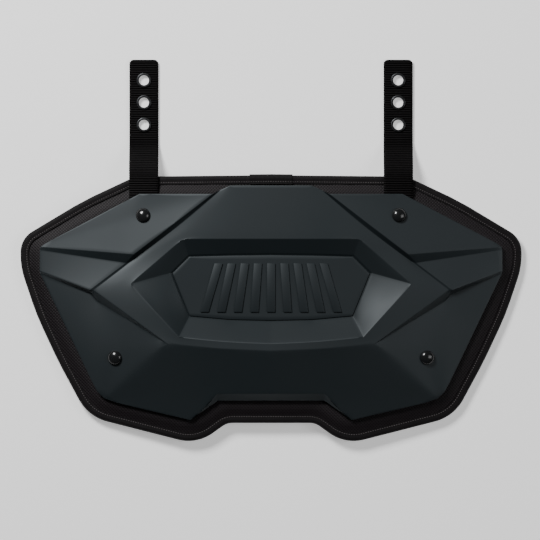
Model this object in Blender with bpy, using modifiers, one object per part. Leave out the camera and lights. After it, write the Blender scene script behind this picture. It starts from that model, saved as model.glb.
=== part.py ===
# A football back plate: a moulded faceted shell riveted over two webbing straps and a foam pad
# It lies on its back, with +Z out of its front, +Y towards the strap ends and the origin under its middle
import math

import bmesh
import bpy
from mathutils import Matrix, Vector
from mathutils.bvhtree import BVHTree

# Sizes in metres
pad_width = 0.432
pad_length = 0.229
pad_thickness = 0.0095
pad_edge_thickness = 0.005
pad_flat = 0.007
pad_shoulder = 0.0085
pad_length_share = 0.53
binding_width = 0.007
binding_thickness = 0.0012
binding_fold = 0.0014
lap_length = 0.037
lap_thickness = 0.0006
lap_fold = 0.0008
lap_steps = 4
plate_side_margin = 0.0167
plate_foot_margin = 0.0182
plate_top_margin = 0.0089
plate_rise = 0.0193
plate_wall = 0.003
plate_rim = 0.0012
groove_width = 0.0012
groove_slope = 0.0005
groove_depth = 0.0010
rib_count = 9
rib_pitch = 0.0128
rib_width = 0.0072
rib_length = 0.042
rib_height = 0.0013
rib_lean = math.radians(4.0)
strap_width = 0.0254
strap_thickness = 0.002
strap_across = 0.55
strap_reach = 0.0997
strap_tail = 0.026
strap_corner = 0.0038
strap_fall = 0.034
strap_fall_steps = 9
grommet_bore = 0.0043
grommet_radius = 0.0063
grommet_barrel = 0.0006
grommet_flange = 0.0008
grommet_edge = 0.0003
grommet_pitch = 0.0192
grommet_from_tip = 0.0177
rivet_radius = 0.0062
rivet_dome = 0.0042
rivet_shank = 0.0025
rivet_tail_radius = 0.0055
rivet_tail = 0.0012
wrap_drop = 0.010
lean = 0.028
clearance = 0.0003
arc_step = math.radians(14)
longest_step = 0.032
strip_width = 0.031
round_steps = 14
seat_samples = 12
slope_step = 0.0002
straight_enough = math.radians(0.5)
flat_enough = math.radians(0.8)
flat_enough_behind = math.radians(4)

# The pad's outline, right half, from the top: across in half widths, up in lengths, radius in widths.
# It is rounded at pad_length_share of its width, then stretched to the pad's own length
pad_corners = (
    (0.542, 0.995, 0.040),
    (0.749, 0.904, 0.400),
    (1.000, 0.763, 0.048),
    (1.000, 0.655, 0.150),
    (0.937, 0.478, 0.500),
    (0.849, 0.301, 0.600),
    (0.730, 0.094, 0.090),
    (0.295, -0.010, 0.084),
    (0.176, 0.071, 0.036),
)

# The pad's section round its edge: side, ring that it starts from, way in from there in shoulders,
# and how far it has got from the thin edge to the full thickness
pad_section = (
    ("back", "flat", 1.00, 0.16),
    ("back", "flat", 0.00, 0.00),
    ("back", "edge", 0.00, 0.00),
    ("front", "edge", 0.00, 0.00),
    ("front", "flat", 0.00, 0.00),
    ("front", "flat", 0.50, 0.75),
    ("front", "flat", 1.00, 1.00),
)

# The shell's corners, one half: across in half widths, up in lengths, height in rises above the pad
plate_corners = {
    "top_mid": (0.000, 1.000, 0.43),
    "top_turn": (0.138, 1.000, 0.43),
    "top_bend": (0.177, 0.999, 0.42),
    "valley_top": (0.218, 0.981, 0.40),
    "valley_bend": (0.406, 0.821, 0.49),
    "valley_low": (0.605, 0.676, 0.43),
    "apex": (0.767, 0.554, 0.57),
    "wing_top_in": (0.251, 0.964, 0.51),
    "wing_edge": (0.413, 0.841, 0.63),
    "wing_low_in": (0.592, 0.706, 0.69),
    "wing_top_mid": (0.531, 0.964, 0.37),
    "wing_shoulder": (0.568, 0.964, 0.34),
    "wing_slant": (0.605, 0.945, 0.32),
    "tip_slant": (0.972, 0.755, 0.24),
    "tip_wing": (0.996, 0.738, 0.24),
    "tip_mid": (0.999, 0.725, 0.21),
    "tip_low": (1.000, 0.635, 0.24),
    "mid_in": (0.626, 0.670, 0.48),
    "mid_low": (0.782, 0.554, 0.60),
    "step_out": (0.998, 0.625, 0.19),
    "step_in": (0.778, 0.537, 0.30),
    "side_mid": (0.850, 0.320, 0.19),
    "side_low": (0.778, 0.172, 0.19),
    "corner_side": (0.750, 0.119, 0.19),
    "corner_mid": (0.718, 0.091, 0.19),
    "corner_foot": (0.661, 0.072, 0.19),
    "low_tip": (0.350, 0.000, 0.19),
    "notch": (0.229, 0.083, 0.21),
    "low_mid": (0.000, 0.083, 0.21),
    "wall_foot": (0.752, 0.507, 0.33),
    "wall_mid": (0.609, 0.424, 0.59),
    "wall_end": (0.467, 0.337, 0.84),
    "wing_bend": (0.758, 0.320, 0.38),
    "ridge_out": (0.447, 0.324, 0.90),
    "ridge_mid": (0.221, 0.303, 0.98),
    "ridge_in": (0.000, 0.294, 1.00),
    "edge_mid": (0.609, 0.441, 0.73),
    "chamfer_out": (0.298, 0.043, 0.28),
    "chamfer_turn": (0.233, 0.113, 0.45),
    "chamfer_in": (0.000, 0.113, 0.49),
    "band_top": (0.000, 0.808, 0.56),
    "band_mid": (0.186, 0.808, 0.56),
    "band_turn": (0.393, 0.808, 0.53),
    "band_low": (0.540, 0.687, 0.48),
    "band_left": (0.670, 0.582, 0.60),
    "rim_top": (0.000, 0.772, 0.58),
    "rim_top_out": (0.186, 0.772, 0.58),
    "rim_turn": (0.380, 0.772, 0.56),
    "rim_slant": (0.493, 0.677, 0.54),
    "rim_left": (0.607, 0.580, 0.66),
    "rim_low": (0.501, 0.466, 0.85),
    "rim_corner": (0.398, 0.354, 0.92),
    "rim_bottom": (0.199, 0.333, 0.97),
    "rim_bottom_in": (0.000, 0.326, 0.98),
    "panel_top": (0.000, 0.711, 0.26),
    "panel_top_out": (0.177, 0.709, 0.26),
    "panel_turn": (0.357, 0.704, 0.26),
    "panel_left": (0.435, 0.627, 0.26),
    "panel_corner": (0.357, 0.437, 0.26),
    "panel_bottom_out": (0.177, 0.421, 0.26),
    "panel_bottom": (0.000, 0.417, 0.26),
}

# The shell's facets, each by its corners
plate_facets = (
    ("top_mid", "top_turn", "band_mid", "band_top"),
    ("top_turn", "top_bend", "valley_top", "valley_bend", "band_turn", "band_mid"),
    ("band_top", "band_mid", "rim_top_out", "rim_top"),
    ("band_mid", "band_turn", "rim_turn", "rim_top_out"),
    ("valley_bend", "valley_low", "band_low", "band_turn"),
    ("valley_low", "apex", "band_left", "band_low"),
    ("band_turn", "band_low", "rim_slant", "rim_turn"),
    ("band_low", "band_left", "rim_left", "rim_slant"),
    ("apex", "edge_mid", "rim_low", "rim_left", "band_left"),
    ("edge_mid", "ridge_out", "rim_corner", "rim_low"),
    ("ridge_out", "ridge_mid", "rim_bottom", "rim_corner"),
    ("ridge_mid", "ridge_in", "rim_bottom_in", "rim_bottom"),
    ("wing_top_in", "wing_top_mid", "wing_shoulder", "wing_slant", "tip_slant", "tip_wing",
     "wing_low_in", "wing_edge"),
    ("valley_top", "wing_top_in", "wing_edge", "valley_bend"),
    ("valley_bend", "wing_edge", "wing_low_in", "valley_low"),
    ("tip_wing", "tip_mid", "mid_in", "wing_low_in"),
    ("wing_low_in", "mid_in", "valley_low"),
    ("tip_mid", "tip_low", "mid_low", "mid_in"),
    ("mid_in", "mid_low", "apex", "valley_low"),
    ("tip_low", "step_out", "step_in", "mid_low"),
    ("mid_low", "step_in", "wall_foot", "apex"),
    ("apex", "wall_foot", "wall_mid", "edge_mid"),
    ("edge_mid", "wall_mid", "wall_end", "ridge_out"),
    ("step_out", "side_mid", "wing_bend", "wall_foot", "step_in"),
    ("side_mid", "side_low", "corner_side", "wing_bend"),
    ("wall_foot", "wing_bend", "corner_side", "corner_mid", "ridge_out", "wall_end", "wall_mid"),
    ("ridge_out", "corner_mid", "corner_foot", "low_tip", "chamfer_out", "chamfer_turn"),
    ("ridge_out", "chamfer_turn", "chamfer_in", "ridge_in", "ridge_mid"),
    ("chamfer_out", "low_tip", "notch", "chamfer_turn"),
    ("chamfer_turn", "notch", "low_mid", "chamfer_in"),
    ("rim_turn", "rim_top_out", "panel_top_out", "panel_turn"),
    ("rim_top_out", "rim_top", "panel_top", "panel_top_out"),
    ("rim_turn", "panel_turn", "panel_left", "rim_left", "rim_slant"),
    ("rim_left", "panel_left", "panel_corner", "rim_corner", "rim_low"),
    ("rim_corner", "panel_corner", "panel_bottom_out", "rim_bottom"),
    ("rim_bottom", "panel_bottom_out", "panel_bottom", "rim_bottom_in"),
)

# The panel's rim in order, from the middle of its top to the middle of its foot
panel_rim = ("panel_top", "panel_top_out", "panel_turn", "panel_left", "panel_corner",
             "panel_bottom_out", "panel_bottom")

# Edges that aren't sharp: their two corners and how much of a crease is left
soft_edges = (
    ("top_turn", "band_mid", 0.0),
    ("band_top", "band_mid", 0.3),
    ("band_mid", "band_turn", 0.3),
    ("valley_bend", "band_turn", 0.2),
    ("band_turn", "band_low", 0.1),
    ("band_low", "band_left", 0.1),
    ("valley_low", "band_low", 0.0),
    ("apex", "band_left", 0.3),
    ("band_mid", "rim_top_out", 0.0),
    ("band_turn", "rim_turn", 0.2),
    ("band_low", "rim_slant", 0.0),
    ("band_left", "rim_left", 0.2),
    ("edge_mid", "rim_low", 0.0),
    ("ridge_mid", "rim_bottom", 0.0),
    ("ridge_out", "rim_corner", 0.3),
    ("ridge_out", "ridge_mid", 0.6),
    ("ridge_mid", "ridge_in", 0.6),
    ("valley_bend", "wing_edge", 0.0),
    ("edge_mid", "wall_mid", 0.0),
    ("side_mid", "wing_bend", 0.0),
    ("wall_foot", "wing_bend", 0.3),
    ("wing_bend", "corner_side", 0.3),
    ("ridge_out", "corner_mid", 0.5),
    ("ridge_out", "chamfer_turn", 0.0),
    ("rim_top_out", "panel_top_out", 0.0),
    ("rim_bottom", "panel_bottom_out", 0.0),
)

# The turned pieces' profiles: way out in radii of the piece, height in its own thickness
dome_profile = ((0.00, 1.00), (0.36, 0.97), (0.64, 0.84), (0.85, 0.61), (0.97, 0.32), (1.00, 0.07))

plate_width = pad_width - 2 * plate_side_margin
plate_length = pad_length - plate_foot_margin - plate_top_margin
strap_spread = strap_across * plate_width / 2
low_y = -(pad_length + strap_reach) / 2
strap_tip_y = low_y + pad_length + strap_reach
pad_front = pad_thickness
binding_height = pad_edge_thickness + 2 * (binding_thickness + clearance)
plate_foot = pad_front + clearance
rivet_places = {
    # across in half plate widths, up in plate lengths
    "upper": (0.552, 0.873),
    "lower": (0.674, 0.2665),
}


def clear_scene():
    for thing in list(bpy.data.objects):
        bpy.data.objects.remove(thing)
    for group in list(bpy.data.collections):
        bpy.data.collections.remove(group)


def make_collection(name):
    group = bpy.data.collections.new(name)
    bpy.context.scene.collection.children.link(group)
    return group


def make_material(name, colour, roughness, metallic):
    material = bpy.data.materials.new(name)
    material.use_nodes = True
    shader = material.node_tree.nodes["Principled BSDF"]
    shader.inputs["Base Color"].default_value = (*colour, 1.0)
    shader.inputs["Roughness"].default_value = roughness
    shader.inputs["Metallic"].default_value = metallic
    material.diffuse_color = (*colour, 1.0)
    return material


def finish_mesh(bm, name, group, material=None):
    bmesh.ops.recalc_face_normals(bm, faces=bm.faces)
    mesh = bpy.data.meshes.new(name)
    bm.to_mesh(mesh)
    bm.free()
    thing = bpy.data.objects.new(name, mesh)
    group.objects.link(thing)
    if material:
        mesh.materials.append(material)
    return thing


def evaluated(thing):
    # The object's mesh with its modifiers, as a bmesh, and the object itself removed
    bpy.context.view_layer.update()
    graph = bpy.context.evaluated_depsgraph_get()
    mesh = bpy.data.meshes.new_from_object(thing.evaluated_get(graph))
    bm = bmesh.new()
    bm.from_mesh(mesh)
    bpy.data.meshes.remove(mesh)
    bpy.data.objects.remove(thing)
    return bm


def cut(thing, cutter, operation="DIFFERENCE"):
    modifier = thing.modifiers.new(cutter.name, "BOOLEAN")
    modifier.operation = operation
    modifier.object = cutter
    modifier.solver = "EXACT"
    cutter.hide_render = True
    cutter.display_type = "WIRE"


def round_corners(corners):
    # A closed loop of corners (x, y, radius) with an arc at each that meets both its sides
    loop = []
    for number, (x, y, radius) in enumerate(corners):
        here = Vector((x, y))
        before = (Vector(corners[number - 1][:2]) - here).normalized()
        after = (Vector(corners[(number + 1) % len(corners)][:2]) - here).normalized()
        turn = math.pi - before.angle(after)
        if radius == 0 or turn < straight_enough:
            loop.append(here)
            continue
        centre = here + (before + after).normalized() * radius / math.cos(turn / 2)
        arm = here + before * radius * math.tan(turn / 2) - centre
        side = 1 if before.cross(after) < 0 else -1
        steps = max(1, round(turn / arc_step))
        for step in range(steps + 1):
            loop.append(centre + Matrix.Rotation(side * turn * step / steps, 2) @ arm)
    return loop


def split_long_sides(loop):
    points = []
    for here, ahead in zip(loop, loop[1:] + loop[:1]):
        parts = max(1, math.ceil((ahead - here).length / longest_step))
        points += [here.lerp(ahead, part / parts) for part in range(parts)]
    return points


def make_pad_loop():
    # The part's outline, counter-clockwise, fitted exactly to the pad's width and length
    half = [(across / 2, pad_length_share * up, radius) for across, up, radius in pad_corners]
    left = [(-x, y, radius) for x, y, radius in half]
    loop = round_corners([(0.0, pad_length_share, 0.0)] + left + half[::-1])
    widest = max(point.x for point in loop)
    lowest = min(point.y for point in loop)
    tallest = max(point.y for point in loop) - lowest
    fitted = [Vector((point.x * pad_width / 2 / widest, low_y + (point.y - lowest) * pad_length / tallest))
              for point in loop]
    return split_long_sides(fitted)


def inset(loop, distance):
    # The loop moved in by a distance, square to its sides
    moved = []
    for before, here, ahead in zip(loop[-1:] + loop[:-1], loop, loop[1:] + loop[:1]):
        one = (here - before).normalized()
        two = (ahead - here).normalized()
        one_in = Vector((-one.y, one.x))
        two_in = Vector((-two.y, two.x))
        moved.append(here + (one_in + two_in) * distance / (1 + one_in.dot(two_in)))
    return moved


def drawn_in(loop, distance):
    # The loop made smaller about the pad's middle, by a distance at each of its ends
    middle = Vector((0, low_y + pad_length / 2))
    scale_x = 1 - distance / (pad_width / 2)
    scale_y = 1 - distance / (pad_length / 2)
    return [Vector((point.x * scale_x, middle.y + (point.y - middle.y) * scale_y)) for point in loop]


pad_loop = make_pad_loop()


def wrap(x, y):
    # How high the pad's back lies where it curves round the wearer and leans on its lower edge
    across = x / (pad_width / 2)
    return wrap_drop * (1 - across ** 2) + lean * (y - low_y - pad_length / 2)


rest_height = -min(wrap(point.x, point.y) for point in pad_loop)


def back_height(x, y):
    return wrap(x, y) + rest_height


def lay_on_back(bm):
    for vert in bm.verts:
        vert.co.z += back_height(vert.co.x, vert.co.y)


def cut_into_strips(bm):
    # Straight strips along Y, so that flat faces can follow the curve
    count = math.ceil(pad_width / strip_width)
    for number in range(1, count):
        x = pad_width * (number / count - 0.5)
        everything = bm.verts[:] + bm.edges[:] + bm.faces[:]
        bmesh.ops.bisect_plane(bm, geom=everything, plane_co=(x, 0, 0), plane_no=(1, 0, 0), dist=1e-6)


def join_rings(bm, rings, closed):
    rows = [[bm.verts.new(point) for point in ring] for ring in rings]
    pairs = list(zip(rows, rows[1:]))
    if closed:
        pairs.append((rows[-1], rows[0]))
    for low, high in pairs:
        for number in range(len(low)):
            ahead = (number + 1) % len(low)
            bm.faces.new((low[number], low[ahead], high[ahead], high[number]))
    return rows


def make_pad(group, material):
    edge_in = binding_thickness + clearance
    front_edge = edge_in + pad_edge_thickness
    swell = pad_front - front_edge
    starts = {"edge": inset(pad_loop, edge_in), "flat": inset(pad_loop, edge_in + pad_flat)}
    rings = []
    for side, start, way_in, share in pad_section:
        height = edge_in - swell * share if side == "back" else front_edge + swell * share
        loop = drawn_in(starts[start], way_in * pad_shoulder)
        rings.append([(point.x, point.y, height) for point in loop])
    bm = bmesh.new()
    rows = join_rings(bm, rings, closed=False)
    bm.faces.new(rows[0])
    bm.faces.new(rows[-1])
    cut_into_strips(bm)
    lay_on_back(bm)
    return finish_mesh(bm, "back_pad", group, material)


def binding_section(outset, width, height, wall, round_off):
    # A channel of tape with rounded outer edges: way in from the outline and height
    low = -outset
    high = height + outset
    return ((width, low), (low + round_off, low), (low, low + round_off), (low, high - round_off),
            (low + round_off, high), (width, high), (width, high - wall), (low + wall, high - wall),
            (low + wall, low + wall), (width, low + wall))


def make_binding(group, material):
    rings = []
    section = binding_section(0.0, binding_width, binding_height, binding_thickness, binding_fold)
    for way_in, height in section:
        rings.append([(point.x, point.y, height) for point in inset(pad_loop, way_in)])
    bm = bmesh.new()
    join_rings(bm, rings, closed=True)
    lay_on_back(bm)
    return finish_mesh(bm, "edge_binding", group, material)


def top_edge(x):
    # How far up the pad's outline reaches at x, near the middle of its top
    sides = zip(pad_loop, pad_loop[1:] + pad_loop[:1])
    here, ahead = next(side for side in sides if side[1].x <= x <= side[0].x and side[0].y > 0)
    return here.lerp(ahead, (here.x - x) / (here.x - ahead.x)).y


def make_lap(group, material):
    section = binding_section(clearance + lap_thickness, binding_width + lap_thickness,
                              binding_height, lap_thickness, lap_fold)
    bm = bmesh.new()
    rows = []
    for step in range(lap_steps + 1):
        x = lap_length / 2 - lap_length * step / lap_steps
        rows.append([bm.verts.new((x, top_edge(x) - way_in, height)) for way_in, height in section])
    for low, high in zip(rows, rows[1:]):
        for number in range(len(low)):
            ahead = (number + 1) % len(low)
            bm.faces.new((low[number], low[ahead], high[ahead], high[number]))
    bm.faces.new(rows[0])
    bm.faces.new(rows[-1])
    lay_on_back(bm)
    return finish_mesh(bm, "binding_lap", group, material)


def plate_point(across, up, height):
    return Vector((-across * plate_width / 2,
                   low_y + plate_foot_margin + up * plate_length,
                   pad_front + height * plate_rise))


def panel_ring(way_in, drop):
    # The panel's rim moved in towards its middle, lowered by a groove
    points = [plate_point(*plate_corners[name]) for name in panel_rim]
    loop = [Vector((point.x, point.y)) for point in points]
    mirrored = [Vector((-point.x, point.y)) for point in loop[-2:0:-1]]
    moved = inset(loop + mirrored, way_in)[:len(loop)]
    return [Vector((spot.x, spot.y, point.z - drop)) for spot, point in zip(moved, points)]


def make_half_cage():
    # The left half of the shell's front, open along the middle
    bm = bmesh.new()
    corners = {name: bm.verts.new(plate_point(*place)) for name, place in plate_corners.items()}
    for facet in plate_facets:
        bm.faces.new([corners[name] for name in facet])
    row = [corners[name] for name in panel_rim]
    for vert in row:
        vert.co.z -= groove_depth
    for way_in, drop in ((groove_width, groove_depth), (groove_width + groove_slope, 0.0)):
        inner = [bm.verts.new(point) for point in panel_ring(way_in, drop)]
        for number in range(len(row) - 1):
            bm.faces.new((row[number], row[number + 1], inner[number + 1], inner[number]))
        row = inner
    bm.faces.new((row[0], row[1], row[-2], row[-1]))
    bm.faces.new(row[1:-1])
    edge_crease = bm.edges.layers.float.new("crease_edge")
    for edge in bm.edges:
        edge[edge_crease] = 1.0
    for one, two, crease in soft_edges:
        bm.edges.get((corners[one], corners[two]))[edge_crease] = crease
    bm.edges.get((row[1], row[-2]))[edge_crease] = 0.0
    return bm


def close_shell(bm):
    # The front copied down by one wall for the back, and joined to it by a rim that stands on the pad
    front = bm.faces[:]
    rim = [edge for edge in bm.edges if edge.is_boundary]
    copy = bmesh.ops.duplicate(bm, geom=bm.verts[:] + bm.edges[:] + front)
    twin = copy["vert_map"]
    for item in copy["geom"]:
        if isinstance(item, bmesh.types.BMVert):
            item.co.z -= plate_wall
    inward = {}
    for edge in rim:
        centre = edge.link_faces[0].calc_center_median()
        along = edge.verts[1].co - edge.verts[0].co
        side = Vector((-along.y, along.x, 0)).normalized()
        if side.dot(centre - edge.verts[0].co) < 0:
            side.negate()
        for vert in edge.verts:
            inward[vert] = inward.get(vert, Vector()) + side
    outer = {}
    inner = {}
    for vert, side in inward.items():
        back = twin[vert]
        back.co.xy += side.xy.normalized() * plate_rim
        back.co.z = max(back.co.z, plate_foot + clearance)
        outer[vert] = bm.verts.new((vert.co.x, vert.co.y, plate_foot))
        inner[vert] = bm.verts.new((back.co.x, back.co.y, plate_foot))
    for edge in rim:
        one, two = edge.verts
        bm.faces.new((one, two, outer[two], outer[one]))
        bm.faces.new((outer[one], outer[two], inner[two], inner[one]))
        bm.faces.new((inner[one], inner[two], twin[two], twin[one]))
    behind = [item for item in copy["geom"] if isinstance(item, bmesh.types.BMEdge)]
    bmesh.ops.dissolve_limit(bm, angle_limit=flat_enough_behind, edges=behind, verts=[])


def make_rib_cutter(cutters):
    # Plain raised bars in a fan across the panel, sunk by half a wall into it
    panel = [plate_point(*plate_corners[name]) for name in ("panel_top", "panel_bottom")]
    middle = (panel[0] + panel[1]) / 2
    bm = bmesh.new()
    for number in range(rib_count):
        step = number - (rib_count - 1) / 2
        depth = plate_wall / 2 + rib_height
        size = Matrix.Diagonal((rib_width, rib_length, depth, 1))
        place = Matrix.Translation((step * rib_pitch, middle.y, middle.z + rib_height - depth / 2))
        shear = Matrix.Shear("XZ", 4, (math.tan(-step * rib_lean), 0))
        bmesh.ops.create_cube(bm, size=1, matrix=place @ shear @ size)
    return finish_mesh(bm, "rib_bars", cutters)


def make_slot_cutter(cutters, side):
    # The gap in the shell's rim that a strap comes out of
    bm = bmesh.new()
    top = plate_foot + strap_thickness + 2 * clearance
    length = 2 * strap_tail
    size = Matrix.Diagonal((strap_width + 2 * clearance, length, top, 1))
    y = low_y + plate_foot_margin + plate_length
    place = Matrix.Translation((side * strap_spread, y, top / 2))
    bmesh.ops.create_cube(bm, size=1, matrix=place @ size)
    return finish_mesh(bm, "strap_slot", cutters)


def make_plate(group, cutters, material):
    cage = finish_mesh(make_half_cage(), "plate_cage", cutters)
    mirror = cage.modifiers.new("halves", "MIRROR")
    mirror.merge_threshold = 0.0001
    smooth = cage.modifiers.new("facets", "SUBSURF")
    smooth.levels = 2
    smooth.render_levels = 2
    bm = evaluated(cage)
    close_shell(bm)
    shell = finish_mesh(bm, "plate_shell", cutters)
    cut(shell, make_rib_cutter(cutters), "UNION")
    for side in (-1, 1):
        cut(shell, make_slot_cutter(cutters, side))
    bm = evaluated(shell)
    bmesh.ops.dissolve_limit(bm, angle_limit=flat_enough, edges=bm.edges, verts=bm.verts)
    cut_into_strips(bm)
    bmesh.ops.triangulate(bm, faces=bm.faces)
    lay_on_back(bm)
    return finish_mesh(bm, "front_plate", group, material)


def strap_path(x, y):
    # The strap's back face: on the pad behind the shell, then down to the ground past the pad's edge
    start = low_y + pad_length - binding_width / 2
    share = min(1.0, max(0.0, (y - start) / strap_fall))
    fall = share * share * (3 - 2 * share)
    high = back_height(x, min(y, start)) + pad_front + clearance
    low = grommet_flange + clearance
    return high + (low - high) * fall


def strap_normal(x, y):
    slope = (strap_path(x, y + slope_step) - strap_path(x, y - slope_step)) / (2 * slope_step)
    return Vector((0, -slope, 1)).normalized()


def make_strap(group, material, side, name):
    x = side * strap_spread
    half = strap_width / 2
    rivet_y = low_y + plate_foot_margin + plate_length * rivet_places["upper"][1]
    tail_y = rivet_y - strap_tail / 2
    outline = round_corners((
        (x - half, tail_y, 0.0), (x + half, tail_y, 0.0),
        (x + half, strap_tip_y, strap_corner), (x - half, strap_tip_y, strap_corner)))
    bm = bmesh.new()
    bottom = bm.faces.new([bm.verts.new((point.x, point.y, 0)) for point in outline])
    start = low_y + pad_length - binding_width / 2
    for number in range(strap_fall_steps + 1):
        y = start + strap_fall * number / strap_fall_steps
        everything = bm.verts[:] + bm.edges[:] + bm.faces[:]
        bmesh.ops.bisect_plane(bm, geom=everything, plane_co=(0, y, 0), plane_no=(0, 1, 0), dist=1e-6)
    extruded = bmesh.ops.extrude_face_region(bm, geom=bm.faces[:])
    top = {item for item in extruded["geom"] if isinstance(item, bmesh.types.BMVert)}
    for vert in bm.verts:
        place = Vector((vert.co.x, vert.co.y, strap_path(vert.co.x, vert.co.y)))
        if vert in top:
            place += strap_normal(vert.co.x, vert.co.y) * strap_thickness
        vert.co = place
    return finish_mesh(bm, name, group, material)


def make_turned(profile, steps, name, group, material=None):
    mesh = bpy.data.meshes.new(name)
    closed = profile[0][0] > 0
    edges = [(number, number + 1) for number in range(len(profile) - 1)]
    if closed:
        edges.append((len(profile) - 1, 0))
    mesh.from_pydata([(radius, 0, height) for radius, height in profile], edges, [])
    if material:
        mesh.materials.append(material)
    thing = bpy.data.objects.new(name, mesh)
    group.objects.link(thing)
    screw = thing.modifiers.new("turn", "SCREW")
    screw.steps = steps
    screw.render_steps = steps
    screw.use_merge_vertices = True
    screw.merge_threshold = 0.00005
    return thing


def grommet_profile():
    # A barrel through the strap with a flat flange with rounded edges on each of its faces
    barrel = grommet_bore + grommet_barrel
    inner = strap_thickness / 2 + clearance
    outer = inner + grommet_flange
    upper = ((grommet_bore, outer - grommet_edge), (grommet_bore + grommet_edge, outer),
             (grommet_radius - grommet_edge, outer), (grommet_radius, outer - grommet_edge),
             (grommet_radius, inner), (barrel, inner))
    lower = [(radius, -height) for radius, height in upper[::-1]]
    return list(upper) + lower


def strap_hole(x, y, name, cutters):
    bm = bmesh.new()
    radius = grommet_bore + grommet_barrel + clearance
    bmesh.ops.create_cone(bm, cap_ends=True, segments=round_steps, radius1=radius, radius2=radius,
                          depth=6 * strap_thickness, matrix=Matrix.Translation((x, y, strap_path(x, y))))
    return finish_mesh(bm, name, cutters)


def make_grommets(group, cutters, material, strap, side, word):
    for number in (1, 2, 3):
        x = side * strap_spread
        y = strap_tip_y - grommet_from_tip - (number - 1) * grommet_pitch
        cut(strap, strap_hole(x, y, f"grommet_hole_{word}_{number}", cutters))
        grommet = make_turned(grommet_profile(), round_steps, f"grommet_{word}_{number}", group, material)
        grommet.location = (x, y, strap_path(x, y) + strap_thickness / 2)


def plate_seat(tree, x, y):
    # A flat seat on the shell's front for a rivet's head: its middle and the way that it faces
    def height(across, up):
        return tree.ray_cast(Vector((x + across, y + up, 1.0)), Vector((0, 0, -1)))[0].z

    span = rivet_radius
    slope_x = (height(span, 0) - height(-span, 0)) / (2 * span)
    slope_y = (height(0, span) - height(0, -span)) / (2 * span)
    angles = [math.tau * number / seat_samples for number in range(seat_samples)]
    ring = [(span * math.cos(angle), span * math.sin(angle)) for angle in angles]
    lift = max(height(across, up) - slope_x * across - slope_y * up for across, up in ring + [(0, 0)])
    return Vector((x, y, lift)), Vector((-slope_x, -slope_y, 1)).normalized()


def make_rivet(group, cutters, material, spot, normal, name):
    # One turned piece: dome, shank and a flat tail let into the pad's back
    through = (spot.z - back_height(spot.x, spot.y)) / normal.z - rivet_tail
    head = [(radius * rivet_radius, clearance + height * rivet_dome) for radius, height in dome_profile]
    shank = [(rivet_radius, clearance), (rivet_shank, clearance), (rivet_shank, -through)]
    tail = [(rivet_tail_radius, -through), (rivet_tail_radius, -through - rivet_tail),
            (0.0, -through - rivet_tail)]
    bore = rivet_shank + clearance
    pocket = rivet_tail_radius + clearance
    step = -through + clearance
    below = -through - pad_thickness
    hole = [(0.0, rivet_dome), (bore, rivet_dome), (bore, step), (pocket, step), (pocket, below), (0.0, below)]
    turn = normal.to_track_quat("Z", "Y")
    rivet = make_turned(head + shank + tail, round_steps, name, group, material)
    cutter = make_turned(hole, round_steps, name + "_hole", cutters)
    for thing in (rivet, cutter):
        thing.rotation_mode = "QUATERNION"
        thing.rotation_quaternion = turn
        thing.location = spot
    return cutter


def main():
    clear_scene()
    group = make_collection("football_back_plate")
    cutters = make_collection("cutters")
    cloth = make_material("mesh_cloth", (0.030, 0.026, 0.028), 0.9, 0.0)
    tape = make_material("binding_tape", (0.012, 0.010, 0.011), 0.8, 0.0)
    shell = make_material("moulded_shell", (0.028, 0.036, 0.040), 0.5, 0.0)
    webbing = make_material("webbing", (0.006, 0.006, 0.007), 0.75, 0.0)
    enamel = make_material("black_enamel", (0.008, 0.008, 0.009), 0.2, 0.6)
    pad = make_pad(group, cloth)
    make_binding(group, tape)
    make_lap(group, tape)
    plate = make_plate(group, cutters, shell)
    bpy.context.view_layer.update()
    tree = BVHTree.FromObject(plate, bpy.context.evaluated_depsgraph_get())
    for word, side in (("left", -1), ("right", 1)):
        strap = make_strap(group, webbing, side, f"strap_{word}")
        make_grommets(group, cutters, enamel, strap, side, word)
        for level, (across, up) in rivet_places.items():
            place = plate_point(-side * across, up, 0)
            spot, normal = plate_seat(tree, place.x, place.y)
            hole = make_rivet(group, cutters, enamel, spot, normal, f"rivet_{level}_{word}")
            cut(plate, hole)
            cut(pad, hole)
            if level == "upper":
                cut(strap, hole)


main()
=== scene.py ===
import math
import random

import bmesh
import bpy
from mathutils import Matrix, Vector
from mathutils.bvhtree import BVHTree


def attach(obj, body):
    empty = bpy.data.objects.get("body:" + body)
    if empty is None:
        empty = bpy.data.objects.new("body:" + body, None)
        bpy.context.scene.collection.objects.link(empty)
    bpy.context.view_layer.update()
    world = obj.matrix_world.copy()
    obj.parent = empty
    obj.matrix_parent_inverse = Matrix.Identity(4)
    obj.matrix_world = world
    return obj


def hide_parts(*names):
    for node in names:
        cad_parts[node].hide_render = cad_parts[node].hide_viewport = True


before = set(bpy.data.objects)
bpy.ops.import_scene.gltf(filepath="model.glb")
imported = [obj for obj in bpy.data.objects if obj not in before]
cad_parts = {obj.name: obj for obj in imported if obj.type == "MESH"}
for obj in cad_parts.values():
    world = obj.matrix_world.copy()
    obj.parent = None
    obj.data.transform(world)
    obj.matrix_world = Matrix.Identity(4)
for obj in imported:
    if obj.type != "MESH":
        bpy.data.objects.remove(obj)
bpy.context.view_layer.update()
print("stage: frame loaded")

# Sizes of the frame that the pieces below are built to, in metres
body = {
    "padWidth": 0.432,
    "padLength": 0.229,
    "strapReach": 0.0997,
    "wrapDrop": 0.010,
    "lean": 0.028,
    "gap": 0.0003,
}
lowY = -(body["padLength"] + body["strapReach"]) / 2
tipY = lowY + body["padLength"] + body["strapReach"]


# Mesh helpers

def addObject(name, data):
    thing = bpy.data.objects.new(name, data)
    bpy.context.scene.collection.objects.link(thing)
    return thing


def fromBmesh(name, bm):
    bmesh.ops.recalc_face_normals(bm, faces=bm.faces)
    mesh = bpy.data.meshes.new(name)
    bm.to_mesh(mesh)
    bm.free()
    return addObject(name, mesh)


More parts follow.
